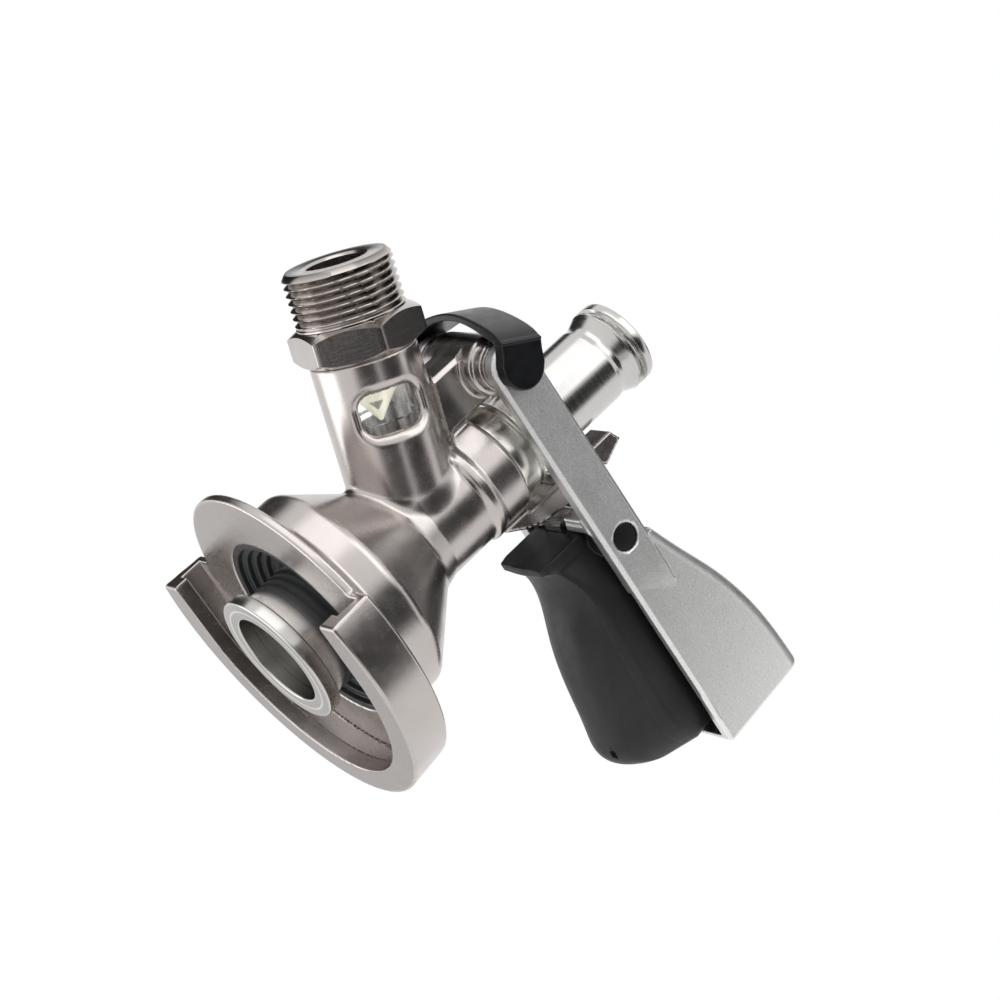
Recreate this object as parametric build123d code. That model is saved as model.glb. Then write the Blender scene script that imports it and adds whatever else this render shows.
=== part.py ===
from build123d import *
import math
import os

os.makedirs("parts", exist_ok=True)

# Keg coupler, millimetres.  +Z runs along the probe towards the beer outlet, z = 0 is the face that
# sits on the keg neck, +X points along the lever to the grip, -X is the open side of the keg slot.

# fits
run_gap = 0.05          # radial gap of a pin or shaft that turns or slides
free_gap = 0.35         # gap between pieces that only pass each other

# flange, keg slot
disk_r = 38.6
disk_t = 2.1
slot_depth = 9.85
skirt_r = 44.8
skirt_draft = 1.2       # how far the skirt's wall draws in towards the disk
skirt_x = -2.6
rail_end_x = -15.5
lip_half = 36.5
lip_x = -1.2
undercut = 2.7
lip_t = 4.2

# dome, neck and collar
foot_r = 28.8
foot_z = 11.8
neck_r = 14.1
cone_top_z = 31.0
collar_z = 50.4
collar_r = 14.4
collar_top = collar_z + 9.7
bead_r = 14.9
cavity_r = 16.9
throat_r = 11.6
throat_top = 43.0

# body seal
seal_r = 25.3
seal_h = 9.8
seal_step = 1.55
seal_lip_z = 7.0

# gas inlet
gas_z = 35.6
gas_deg = 18.5
stub_r = 12.95
stub_start = 12.0
stub_end = 44.4
chamber_r = 10.8
chamber_end = 19.6
gas_port_r = 5.2
window_mid = 31.5       # along the inlet from where its axis leaves the probe's
window_half_l = 3.85
window_half_t = 6.3
window_corner = 2.2
window_turn = 13.0      # degrees that each window leans towards the keg
window_draft = 8.0
window_rim = 1.6
valve_bill = 9.5
valve_turn = -29.0      # way the valve's lips lie, about the inlet's axis
hex_af = 28.2
hex_h = 8.8
hex_turn = 23.0
inlet_end = 66.7
inlet_thread_r = 13.22   # G3/4 thread, 26.44 mm over the crests
inlet_bore_r = 7.2

# hinge
pivot_x = -21.5
pivot_z = collar_top + 11.4
pin_r = 3.5
arm_in = 14.8
arm_out = 19.0
arm_h = 12.0
lug_half = 6.0
lug_back = -27.6
boss_r = 7.3
boss_half = 10.2
nose_r = 6.2
post_foot = 6.2
post_half = 4.5

# probe
tip_z = -11.0
tip_r = 17.25
tip_t = 3.6
sleeve_r = 14.85
sleeve_bore = 12.2
sleeve_top = 11.6
stem_r = 9.9
stem_bore = 7.0
bush_r = stem_r + 2.0
bush_z = collar_top - 6.2
drive_r = 12.3
drive_low = collar_top + 0.7
drive_top = pivot_z + 6.7
drive_pin_r = 2.5
groove_play = 0.9
outlet_r = 10.3
outlet_top = drive_top + 29.7
outlet_thread_r = 11.46  # G5/8 thread, 22.91 mm over the crests
thread_run = 3.1
end_band = 2.3

# lever and grip
catch_r = 44.6           # radius of the catch nose about the hinge
trigger_x = pivot_x + catch_r + 7.6
trigger_pin_r = 3.45
lever_end = 93.3
shield_wall = 2.8
end_wall = 1.9
shield_start = trigger_x + 3.8
arm_end = trigger_x + 22.8
edge_bevel = 0.9
web_front = trigger_x - 9.3
web_back = trigger_x - 5.5
web_notch = 6.5          # half width of the web's notch for the latch post
rim_chamfer = 0.45


def lathe(points, radii):
    # closed outline in the XZ half plane, turned about Z; one corner radius a point
    edges = []
    n = len(points)
    cut = []
    for i, (p, r) in enumerate(zip(points, radii)):
        a, b = Vector(*points[i - 1]), Vector(*points[(i + 1) % n])
        v = Vector(*p)
        if r == 0:
            cut.append((v, v, v))
            continue
        u, w = (a - v).normalized(), (b - v).normalized()
        half = math.radians(u.get_angle(w)) / 2
        reach = r / math.tan(half)
        mid = v + (u + w).normalized() * (r / math.sin(half) - r)
        cut.append((v + u * reach, mid, v + w * reach))
    for i in range(n):
        start, mid, end = cut[i]
        if (end - start).length > 1e-6:
            edges.append(ThreePointArc(start, mid, end))
        nxt = cut[(i + 1) % n][0]
        if (nxt - end).length > 1e-6:
            edges.append(Line(end, nxt))
    face = Plane.XZ * make_face(edges)
    return revolve(face, Axis.Z, 360)


def ring(mid_r, wire_r, z):
    # eight-sided rubber ring
    points = [(mid_r + wire_r * math.cos(math.radians(22.5 + 45 * k)), z + wire_r * math.sin(math.radians(22.5 + 45 * k)))
              for k in range(8)]
    return lathe(points, [0] * 8)


def tube(r_out, r_in, z0, z1):
    return Pos(0, 0, z0) * extrude(Circle(r_out) - Circle(r_in), z1 - z0)


def rod(r, z0, z1):
    return Pos(0, 0, z0) * extrude(Circle(r), z1 - z0)


def side_plate(outline, y0, y1):
    # outline drawn in XZ, thickened from y0 to y1
    low = min(y0, y1)
    return Plane((0, low, 0), x_dir=(1, 0, 0), z_dir=(0, 1, 0)) * extrude(outline, abs(y1 - y0))


def xz(*points):
    # on the side plane the local y axis is -Z
    return make_face(Polyline([(x, -z) for x, z in points], close=True))


def cross_rod(r, x, z, y0, y1):
    return Pos(x, y0, z) * Rot(-90, 0, 0) * extrude(Circle(r), y1 - y0)


gas_place = Plane((0, 0, gas_z), x_dir=(math.sin(math.radians(gas_deg)), 0, math.cos(math.radians(gas_deg))),
                  z_dir=(-math.cos(math.radians(gas_deg)), 0, math.sin(math.radians(gas_deg))))


# coupler body

def turned_body():
    pts = [(0, 0), (disk_r, 0), (disk_r, disk_t + 0.3), (foot_r + 2.4, disk_t + 1.9),
           (foot_r, disk_t + 4.2), (foot_r, foot_z + 2.0), (neck_r + 1.2, cone_top_z - 0.6),
           (neck_r, cone_top_z + 4.0), (neck_r - 0.1, collar_z - 1.7), (bead_r, collar_z - 1.4),
           (bead_r, collar_z + 0.6), (collar_r, collar_z + 1.9), (collar_r, collar_top), (0, collar_top)]
    rad = [0, 0.7, 0.8, 3.0, 1.2, 3.6, 4.5, 1.0, 1.4, 0.7, 0.8, 0.8, 0.7, 0]
    return lathe(pts, rad)


def skirt():
    height = slot_depth + disk_t
    outer = Pos(skirt_x, 0, disk_t - height / 2) * Cone(skirt_r, skirt_r - skirt_draft, height)
    solid = outer & Pos(rail_end_x + 50, 0, 0) * Box(100, 120, 60)
    solid = fillet(solid.edges().filter_by(GeomType.CIRCLE).group_by(Axis.Z)[0], 1.1)
    solid = fillet(solid.edges().filter_by(GeomType.CIRCLE).group_by(Axis.Z)[-1], 0.9)
    return solid


def slot_cut(half, x0, z0, z1):
    run = Pos(x0 - 40, 0) * Rectangle(80, 2 * half)
    return Pos(0, 0, z0) * extrude((Pos(x0, 0) * Circle(half)) + run, z1 - z0)


def hinge_lug():
    low = collar_z - 1.0
    plate = xz((lug_back, low), (-collar_r + 1.2, low), (-collar_r + 0.2, collar_top),
               (-collar_r + 0.2, pivot_z), (lug_back + 2.0, pivot_z), (lug_back, pivot_z - 2.0))
    solid = side_plate(plate, -lug_half, lug_half)
    solid += cross_rod(boss_r, pivot_x, pivot_z, -boss_half, boss_half)
    reach = arm_in - free_gap - 1.3
    solid += cross_rod(nose_r, pivot_x, pivot_z, -reach, reach)
    return solid


def hinge_polar(r, z):
    # x of a point at height z on the circle of radius r about the hinge
    return pivot_x + math.sqrt(r * r - (z - pivot_z) ** 2)


def latch_post():
    # mast that follows the catch's arc about the hinge, with a low ledge and a top tooth
    back = collar_r
    arc_r = catch_r - 2.6
    tooth_r = catch_r - 0.5
    low, ledge, top = collar_z + 1.6, collar_top + 1.9, pivot_z + 1.5
    inside = back - 3.4
    foot = side_plate(xz((inside, low), (back, low), (back + 3.4, collar_top - 2.6), (hinge_polar(arc_r, ledge), ledge),
                         (hinge_polar(arc_r, top), top), (back, top), (back, collar_top), (inside, collar_top)),
                      -post_foot, post_foot)
    mast = [(back, pivot_z - 1.5), (hinge_polar(arc_r, pivot_z - 1.5), pivot_z - 1.5)]
    for radius, rise in ((tooth_r, -0.3), (tooth_r, 1.1), (arc_r, 2.9), (arc_r, 11.9), (tooth_r, 13.3), (tooth_r, 20.3)):
        mast.append((hinge_polar(radius, pivot_z + rise), pivot_z + rise))
    mast.append((back, pivot_z + 18.8))
    return foot + side_plate(xz(*mast), -post_half, post_half)


def gas_stub():
    # round-nosed stub with a sight window on each side, its rims rounded over
    body = rod(stub_r, stub_start, stub_end)
    for side in (-1, 1):
        body -= sight_window(side)
    rims = [e for e in body.edges() if e.bounding_box().min.Z > chamber_end and e.bounding_box().max.Z < stub_end - 2
            and abs(math.hypot((e @ 0.5).X, (e @ 0.5).Y) - stub_r) < 0.05]
    body = fillet(rims, window_rim)
    body += Pos(0, 0, stub_start) * Sphere(stub_r)
    return gas_place * body


def stub_bores():
    cut = rod(chamber_r, chamber_end, stub_end + 5)
    cut += rod(gas_port_r, 9.0, chamber_end + 1)
    return gas_place * cut


def sight_window(side):
    # rounded opening in the stub wall, widening outwards; drawn with the inlet upright
    lean = math.radians(window_turn)
    out = Vector(-math.sin(lean), side * math.cos(lean), 0)
    depth = 4.0
    hole = RectangleRounded(2 * window_half_l, 2 * window_half_t, window_corner)
    frame_plane = Plane(Vector(0, 0, window_mid) + out * depth, x_dir=(0, 0, 1), z_dir=out)
    return frame_plane * extrude(hole, stub_r, taper=-window_draft)


def coupler_body():
    solid = turned_body() + skirt()
    solid += gas_stub()
    solid += hinge_lug()
    solid += latch_post()
    solid -= slot_cut(lip_half, lip_x, -slot_depth - 1, 0)
    solid -= slot_cut(lip_half + undercut, lip_x, -slot_depth + lip_t, 0)
    solid -= rod(seal_r, -1, seal_h)
    solid -= lathe([(0, 5), (cavity_r, 5), (cavity_r, 16.5), (sleeve_r + 0.6, 25.6), (throat_r, 27.5),
                    (throat_r, throat_top), (0, throat_top)], [0, 0, 0.8, 0.8, 0.8, 0, 0])
    solid -= rod(stem_r + 0.3, throat_top - 1, collar_top + 1)
    solid -= rod(bush_r, bush_z - 2.0, collar_top + 1)
    solid -= stub_bores()
    solid -= cross_rod(pin_r, pivot_x, pivot_z, -20, 20)
    return solid


# seals, bush, gas side

def body_seal():
    # stepped rubber cup; the inner lip closes on the sleeve
    lip_r = sleeve_r + free_gap
    pts = [(seal_r, 0.2)]
    r = seal_r - 1.5
    z = 0.2
    for _ in range(4):
        pts += [(r, z), (r, z + seal_step)]
        z += seal_step
        r -= 1.55
    pts += [(lip_r + 1.2, z), (lip_r, seal_lip_z + 0.6), (lip_r, seal_h - 0.8), (lip_r + 0.8, seal_h),
            (seal_r, seal_h)]
    rad = [0] * len(pts)
    return lathe(pts, rad)


def neck_bush():
    return tube(bush_r, stem_r + run_gap, bush_z, collar_top + 0.25)


def neck_oring():
    r = (stem_r + run_gap + bush_r) / 2
    return ring(r, 0.9, bush_z - 1.0)


glass_low = chamber_end + 1.6
glass_top = glass_low + 17.6
valve_flange = 1.3
spigot_low = glass_top + valve_flange + 1.5


def sight_tube():
    return gas_place * tube(chamber_r - 0.25, chamber_r - 2.2, glass_low, glass_top)


def tube_seals():
    ring_r = chamber_r - 1.25
    low = ring(ring_r, 0.8, chamber_end + 0.8)
    high = ring(ring_r, 0.75, spigot_low - 0.75)
    return Compound(children=[gas_place * low, gas_place * high])


def check_valve():
    # duckbill: a round flange whose tube flattens to a closed lip
    flange = rod(chamber_r - 0.4, glass_top, glass_top + valve_flange)
    neck = rod(chamber_r - 2.6, glass_top - 2.2, glass_top)
    tube_r = chamber_r - 3.2
    top, tip = glass_top - 2.0, glass_top - valve_bill
    bill = loft([Pos(0, 0, top) * RectangleRounded(2 * tube_r, 2 * tube_r, tube_r - 0.2),
                 Pos(0, 0, (top + tip) / 2 + 0.7) * RectangleRounded(tube_r + 2.2, 2 * tube_r - 0.6, 2.2),
                 Pos(0, 0, tip) * RectangleRounded(1.4, 2 * tube_r - 1.2, 0.6)], ruled=True)
    bore = rod(tube_r - 2.0, glass_top - 3.0, glass_top + 2)
    return gas_place * (flange + neck + Rot(0, 0, valve_turn) * bill - bore)


def gas_adaptor():
    spigot = rod(chamber_r - run_gap, spigot_low, stub_end + 1)
    spigot -= tube(chamber_r, chamber_r - 1.6, spigot_low + 0.6, spigot_low + 2.2)
    hexagon = Pos(0, 0, stub_end) * extrude(RegularPolygon(hex_af / 2, 6, major_radius=False,
                                                           rotation=hex_turn), hex_h)
    # both faces of the hexagon are turned off to thirty degrees from the thread's own radius
    rim = inlet_thread_r - 0.15
    span = hex_af / math.sqrt(3) - rim + 0.5
    drop = span * math.tan(math.radians(30))
    cone = lathe([(0, stub_end), (rim, stub_end), (rim + span, stub_end + drop),
                  (rim + span, stub_end + hex_h - drop), (rim, stub_end + hex_h),
                  (0, stub_end + hex_h)], [0, 0, 0, 0, 0, 0])
    thread = lathe([(0, stub_end + 2), (inlet_thread_r, stub_end + 2), (inlet_thread_r, inlet_end - 0.9),
                    (inlet_thread_r - 0.9, inlet_end), (0, inlet_end)], [0, 0, 0, 0, 0])
    solid = spigot + (hexagon & cone) + thread
    bore = lathe([(0, spigot_low - 1), (inlet_bore_r, spigot_low - 1), (inlet_bore_r, inlet_end - 0.5),
                  (inlet_bore_r + 0.5, inlet_end), (inlet_bore_r + 0.5, inlet_end + 2), (0, inlet_end + 2)],
                 [0, 0, 0, 0, 0, 0])
    return gas_place * (solid - bore)


def adaptor_seal():
    return gas_place * ring(chamber_r - 0.8, 0.75, spigot_low + 1.4)


# hinge pieces

def hinge_pin():
    pin = cross_rod(pin_r - run_gap, pivot_x, pivot_z, -pin_half, pin_half)
    return chamfer(pin.edges(), 0.4)


def hinge_washers():
    inner = arm_in - free_gap - 1.3
    rings = []
    for side in (-1, 1):
        y0, y1 = sorted((side * inner, side * (arm_in - 0.3)))
        ring = cross_rod(nose_r - 0.2, pivot_x, pivot_z, y0, y1)
        rings.append(ring - cross_rod(pin_r + 0.1, pivot_x, pivot_z, y0 - 1, y1 + 1))
    return Compound(children=rings)


cap_in = arm_out + free_gap
cap_out = arm_out + 4.1
pin_half = arm_out + 1.6
cap_r = 5.6
strap_deg = 151.0
strap_t = 1.8
strap_w = 11.0


def clip_cap(side):
    # D-shaped cup over the pin end, its flat towards the strap
    y0, y1 = sorted((side * cap_in, side * cap_out))
    cup = cross_rod(cap_r, pivot_x, pivot_z, y0, y1)
    block = Pos(pivot_x, (y0 + y1) / 2, pivot_z) * Rot(0, -strap_deg, 0) * Pos(3.2, 0, 0)
    cup = cup + block * Box(6.4, abs(y1 - y0), strap_w)
    y0, y1 = sorted((side * (cap_in - 1), side * (pin_half + 0.25)))
    return cup - cross_rod(pin_r + 0.15, pivot_x, pivot_z, y0, y1)


def arch_line(out, shrink):
    # bridge from cap to cap; out is the distance from the hinge axis at mid span
    side = cap_out - shrink
    pts = [(6.0, side), (out - 4.0, side * 0.82), (out - 1.2, side * 0.42), (out, 0)]
    return Spline([(x, -y) for x, y in pts] + [(x, y) for x, y in reversed(pts[:-1])])


def hinge_clip():
    # moulded strap that arches from cap to cap behind the hinge
    outer, inner = arch_line(12.7, 0.0), arch_line(12.7 - strap_t, 2.6)
    face = make_face([outer, inner, Line(outer @ 0, inner @ 0), Line(outer @ 1, inner @ 1)])
    band = extrude(face, strap_w / 2, both=True)
    solid = Pos(pivot_x, 0, pivot_z) * Rot(0, -strap_deg, 0) * band
    for side in (-1, 1):
        solid += clip_cap(side)
    return solid


# probe

def probe_sleeve():
    top = sleeve_top
    pts = [(sleeve_bore, tip_z), (tip_r, tip_z), (tip_r, tip_z + tip_t), (sleeve_r, tip_z + tip_t),
           (sleeve_r, top), (stem_r + 0.6, top + 3.2), (stem_r, top + 4.6), (stem_r, drive_low),
           (stem_bore, drive_low), (stem_bore, 8.0), (sleeve_bore, 4.0)]
    return lathe(pts, [0.5, 0.6, 0.5, 0, 0.9, 0, 0, 0, 0, 0, 0])


def drive_collar():
    mid = pivot_z
    play = drive_pin_r + groove_play
    hub = stem_r + 0.3
    pts = [(stem_bore, drive_low), (drive_r - 0.4, drive_low), (drive_r, drive_low + 0.6), (drive_r, drive_low + 5.2),
           (drive_r - 0.6, drive_low + 5.5), (drive_r - 0.6, drive_low + 6.0), (drive_r, drive_low + 6.3),
           (drive_r, mid - play), (hub, mid - play), (hub, mid + play), (drive_r, mid + play),
           (drive_r, drive_top - 1.0), (drive_r - 1.0, drive_top), (stem_bore, drive_top)]
    return lathe(pts, [0] * len(pts))


def outlet_tube():
    top = outlet_top
    t0 = top - end_band - thread_run
    pts = [(stem_bore, drive_top), (outlet_r, drive_top), (outlet_r, t0 - 4.2), (outlet_r - 0.25, t0 - 3.8),
           (outlet_r - 0.25, t0 - 2.8), (outlet_thread_r - 0.3, t0 - 0.7), (outlet_thread_r, t0 + 0.5),
           (outlet_thread_r, top), (stem_bore + 0.8, top), (stem_bore, top - 0.8)]
    return lathe(pts, [0, 0, 0, 0, 1.0, 0.6, 0.4, 0, 0, 0])


# lever

def shield_section(x, z_top, half_low, half_top, crown, low_z, grow):
    # closed outline across the lever at x: straight sides, rounded shoulders, domed top
    r = 3.2 - grow * 0.6
    hl, ht, zt = half_low - grow, half_top - grow, z_top - grow
    lean = (ht - hl) / (zt - low_z)
    side_top = zt - r
    side_y = hl + lean * (side_top - low_z)
    pts = [(-hl, low_z), (-side_y, side_top), (-ht + r * 0.9, zt), (ht - r * 0.9, zt), (side_y, side_top), (hl, low_z)]
    k = 0.7071
    edges = [Line(pts[0], pts[1]),
             ThreePointArc(pts[1], (-side_y + r * (1 - k) * 0.9, side_top + r * k), pts[2]),
             ThreePointArc(pts[2], (0, zt + crown), pts[3]),
             ThreePointArc(pts[3], (side_y - r * (1 - k) * 0.9, side_top + r * k), pts[4]),
             Line(pts[4], pts[5]), Line(pts[5], pts[0])]
    plane = Plane((x, 0, 0), x_dir=(0, 1, 0), z_dir=(1, 0, 0))
    return plane * make_face(edges)


# share of the shield's run, height over the pivots, how far the foot and the top draw in, crown
shield_form = [(0.0, 7.8, 0.0, 0.1, 0.4), (0.165, 11.7, 0.0, 0.7, 0.9), (0.357, 16.6, 0.0, 1.5, 1.4),
               (0.583, 20.8, 0.1, 2.4, 1.8), (0.809, 23.0, 0.3, 3.3, 2.0), (1.0, 23.9, 0.6, 4.2, 2.0)]


def shield():
    low = pivot_z - arm_h / 2
    outer, inner = [], []
    for share, rise, foot, head, crown in shield_form:
        x = shield_start + share * (lever_end - shield_start)
        form = (pivot_z + rise, arm_out - foot, arm_out - head, crown)
        outer.append(shield_section(x, *form, low, 0.0))
        inner.append(shield_section(min(x, lever_end - end_wall), *form, low - 3.0, shield_wall))
    shell = loft(outer)
    foot = [e for e in shell.edges() if abs(e.bounding_box().max.Z - low) < 0.01 and e.length > 30]
    return chamfer(foot, edge_bevel) - loft(inner)


def lever_arm(side):
    # flat bar, round at the hinge; its slanted end runs out against the leaning flank of the shield
    half = arm_h / 2
    outline = xz((pivot_x, pivot_z + half), (arm_end, pivot_z + half), (arm_end - 9.5, pivot_z - half),
                 (pivot_x, pivot_z - half)) + Pos(pivot_x, -pivot_z) * Circle(half)
    y0, y1 = sorted((side * arm_in, side * arm_out))
    bar = side_plate(outline, y0, y1)
    edges = [e for e in bar.edges() if abs(e.center().Y - side * arm_out) < 0.01]
    return chamfer(edges, edge_bevel)


def lever_web():
    # cross wall in front of the grip with a forward lip, notched for the latch post
    low = pivot_z - arm_h / 2 + 0.2
    lip_h, wall_h, notch_h = pivot_z - 2.1 - low, pivot_z + 2.5 - low, pivot_z - 0.1 - low
    lip = Pos((web_front + web_back) / 2, 0, low + lip_h / 2) * Box(web_back - web_front, 2 * arm_in, lip_h)
    wall = Pos(web_back - 1.0, 0, low + wall_h / 2) * Box(2.0, 2 * arm_in, wall_h)
    notch = Pos(web_front - 1.4, 0) * Rectangle(4.0, 2 * web_notch) + Pos(web_front - 0.2, 0) * Circle(web_notch)
    return lip + wall - Pos(0, 0, low - 2) * extrude(notch, notch_h + 2)


def lever_frame():
    solid = shield() + lever_web()
    for side in (-1, 1):
        solid += lever_arm(side)
    solid -= cross_rod(pin_r, pivot_x, pivot_z, -30, 30)
    solid -= cross_rod(trigger_pin_r + 0.05, trigger_x, pivot_z, -30, 30)
    mouths = [e for e in solid.edges().filter_by(GeomType.CIRCLE) if abs(e.radius - trigger_pin_r - 0.05) < 0.01
              and abs(e.arc_center.X - trigger_x) < 0.01 and abs(abs(e.arc_center.Y) - arm_out) < 0.01]
    solid = chamfer(mouths, rim_chamfer)
    for side in (-1, 1):
        y0, y1 = sorted((side * (arm_in - 1), side * (arm_out - 1.2)))
        solid -= cross_rod(drive_pin_r, 0, pivot_z, y0, y1)
    return solid


def drive_pins():
    pins = []
    for side in (-1, 1):
        y0, y1 = sorted((side * (stem_r + 0.3 + 0.35), side * (arm_out - 1.2)))
        pin = cross_rod(drive_pin_r, 0, pivot_z, y0, y1)
        pins.append(pin)
    return Compound(children=pins)


def trigger_pin():
    pin = cross_rod(trigger_pin_r, trigger_x, pivot_z, -arm_out + 0.35, arm_out - 0.35)
    return chamfer(pin.edges(), 0.3)


# grip

def grip_section(x, z_top, z_side, z_low, half, half_top):
    # flat flanks that draw in upwards, a narrow facet below them, then a round belly
    fold = 0.22 * (z_side - z_low)
    half_fold = half - 0.12 * (z_side - z_low)
    edges = [Line((-half_top, z_top), (half_top, z_top)), Line((half_top, z_top), (half, z_side)),
             Line((half, z_side), (half_fold, z_side - fold)),
             ThreePointArc((half_fold, z_side - fold), (0, z_low), (-half_fold, z_side - fold)),
             Line((-half_fold, z_side - fold), (-half, z_side)), Line((-half, z_side), (-half_top, z_top))]
    plane = Plane((x, 0, 0), x_dir=(0, 1, 0), z_dir=(1, 0, 0))
    return plane * make_face(edges)


hub_r = 5.2
hub_gap = 3.6           # half width of the spring slot in the hub
slot_low = 6.3          # floor and roof of that slot below and above the trigger pin
slot_high = 5.5
grip_front = trigger_x - 2.7
grip_back = lever_end - 3.8
grip_half = arm_in - free_gap
# share of the grip's run, top, widest line and underside below or above the pivots, how far foot and top draw in
grip_form = [(0.0, -4.5, -16.2, -18.8, 5.45, 5.45), (0.133, 2.9, -13.3, -17.2, 2.45, 2.85),
             (0.332, 4.5, -13.0, -21.8, 0.65, 2.05), (0.565, 4.9, -13.8, -26.0, 0.0, 2.25),
             (0.764, 4.7, -14.5, -28.3, 0.0, 2.65), (0.93, 4.1, -12.5, -26.6, 0.65, 3.25),
             (1.0, 2.5, -9.5, -20.5, 2.25, 4.25)]


def trigger_grip():
    sections = []
    for share, top, side, low, foot, head in grip_form:
        x = grip_front + share * (grip_back - grip_front)
        sections.append(grip_section(x, pivot_z + top, pivot_z + side, pivot_z + low, grip_half - foot, grip_half - head))
    solid = loft(sections)
    plate = Pos(grip_front - 0.8, 0, pivot_z - 12.3) * Box(2.0, 18.8, 14.8)
    plate = fillet(plate.edges().filter_by(Axis.X), 1.5)
    solid += plate
    solid += cross_rod(hub_r, trigger_x, pivot_z, -grip_half, grip_half)
    slot_mid = pivot_z + (slot_high - slot_low) / 2
    solid -= Pos(trigger_x - 3.7, 0, slot_mid) * Box(19.2, 2 * hub_gap, slot_high + slot_low)
    solid -= cross_rod(trigger_pin_r + run_gap, trigger_x, pivot_z, -30, 30)
    return solid


def trigger_catch():
    # steel blade on the floor of the grip's slot; its nose stops under the ledge of the post
    floor = pivot_z - slot_low
    nose, tip = hinge_polar(catch_r, pivot_z - 2.5), pivot_z - 0.9
    blade = xz((nose, floor + 2.3), (hinge_polar(catch_r, tip), tip), (nose + 1.6, tip), (nose + 2.2, floor + 1.7),
               (trigger_x - 5.3, floor + 1.1), (trigger_x + 3.9, floor + 1.1), (trigger_x + 3.9, floor),
               (trigger_x - 6.7, floor))
    return side_plate(blade, -hub_gap + 0.2, hub_gap - 0.2)


def trigger_spring():
    # torsion coil round the trigger pin in the hub slot
    turns = Helix(1.4, 4.2, trigger_pin_r + 0.95)
    wire = sweep(Plane(turns @ 0, z_dir=turns % 0) * RegularPolygon(0.5, 6), turns, is_frenet=True)
    return Pos(trigger_x, -2.1, pivot_z) * Rot(-90, 0, 0) * wire


parts = {
    "coupler_body": coupler_body,
    "body_seal": body_seal,
    "neck_bush": neck_bush,
    "neck_oring": neck_oring,
    "sight_tube": sight_tube,
    "sight_tube_seals": tube_seals,
    "check_valve": check_valve,
    "gas_adaptor": gas_adaptor,
    "adaptor_seal": adaptor_seal,
    "hinge_pin": hinge_pin,
    "hinge_washers": hinge_washers,
    "hinge_clip": hinge_clip,
    "probe_sleeve": probe_sleeve,
    "drive_collar": drive_collar,
    "outlet_tube": outlet_tube,
    "lever_frame": lever_frame,
    "drive_pins": drive_pins,
    "trigger_pin": trigger_pin,
    "trigger_spring": trigger_spring,
    "trigger_grip": trigger_grip,
    "trigger_catch": trigger_catch,
}

for name, make in parts.items():
    shape = make()
    export_step(shape, f"parts/{name}.step")
    print(name, round(shape.volume, 1), len(shape.solids()), shape.is_valid)
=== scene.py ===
import math
import bpy
import numpy as np
from mathutils import Matrix, Vector


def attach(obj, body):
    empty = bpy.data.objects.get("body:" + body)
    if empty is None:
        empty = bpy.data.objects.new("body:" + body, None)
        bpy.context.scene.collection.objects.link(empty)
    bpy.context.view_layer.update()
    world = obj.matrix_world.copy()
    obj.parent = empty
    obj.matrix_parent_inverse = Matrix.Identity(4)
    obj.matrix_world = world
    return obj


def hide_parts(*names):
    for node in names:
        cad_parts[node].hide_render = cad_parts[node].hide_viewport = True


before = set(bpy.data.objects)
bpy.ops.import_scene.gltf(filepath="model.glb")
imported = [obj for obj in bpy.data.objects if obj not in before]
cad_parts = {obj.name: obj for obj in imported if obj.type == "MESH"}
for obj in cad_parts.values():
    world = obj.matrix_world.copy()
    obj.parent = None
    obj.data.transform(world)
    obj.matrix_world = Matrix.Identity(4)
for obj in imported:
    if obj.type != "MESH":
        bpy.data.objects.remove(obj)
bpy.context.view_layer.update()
print("frame loaded,", len(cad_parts), "nodes")

mm = 0.001
scene = bpy.context.scene


def cosSin(degrees):
    return math.cos(math.radians(degrees)), math.sin(math.radians(degrees))


# shared working lines: all sizes below are in millimetres in the CAD frame

hinge = {"x": -21.5, "z": 71.5}
trigger = {"x": 30.7, "z": 71.5}
driveLine = {"x": 0, "z": hinge["z"]}
gasLine = {"z": 35.6, "deg": 18.5}          # the inlet's axis leaves the probe's axis here
gasCos, gasSin = cosSin(gasLine["deg"])
gasTilt = {"at": (0, 0, gasLine["z"] * mm), "turn": (0, math.radians(gasLine["deg"] - 90), 0)}


def onGas(points):
    # local z runs out along the inlet, local x tips up from it, y stays across
    x, y, z = points.T
    return np.stack([gasSin * x - gasCos * z, y, gasLine["z"] + gasCos * x + gasSin * z], 1)


def acrossAt(line):
    # turned pieces that lie across the coupler: local z becomes y
    def place(points):
        return np.stack([points[:, 0] + line["x"], points[:, 2], -points[:, 1] + line["z"]], 1)
    return place


# meshes from arrays

def gridFaces(rows, columns, wrapRows, wrapColumns):
    # quads between neighbouring rows and columns; a wrapped side joins back to its start
    r = np.arange(rows if wrapRows else rows - 1)
    c = np.arange(columns if wrapColumns else columns - 1)
    r, c = np.meshgrid(r, c, indexing="ij")
    r1, c1 = (r + 1) % rows, (c + 1) % columns
    quads = np.stack([r * columns + c, r * columns + c1, r1 * columns + c1, r1 * columns + c], -1)
    return quads.reshape(-1, 4)


def fillMesh(mesh, points, faces):
    sides = faces.shape[1]
    mesh.vertices.add(len(points))
    mesh.vertices.foreach_set("co", (points * mm).astype(np.float32).ravel())
    mesh.loops.add(faces.size)
    mesh.loops.foreach_set("vertex_index", faces.astype(np.int32).ravel())
    mesh.polygons.add(len(faces))
    mesh.polygons.foreach_set("loop_start", np.arange(0, faces.size, sides, dtype=np.int32))
    mesh.update(calc_edges=True)
    mesh.shade_smooth()


def addObject(name, data):
    thing = bpy.data.objects.new(name, data)
    scene.collection.objects.link(thing)
    return thing


def addPiece(name, mesh, body, nodes, material):
    piece = addObject(name, mesh)
    mesh.materials.append(material)
    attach(piece, body)
    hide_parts(*nodes)


def surfaceVolume(points, faces):
    # six times the enclosed volume, from the fan of each quad; its sign says which way the faces turn
    a, b, c, d = (points[faces[:, k]] for k in (0, 1, 2, -1))
    return (a * (np.cross(b, c) + np.cross(c, d))).sum()


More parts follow.
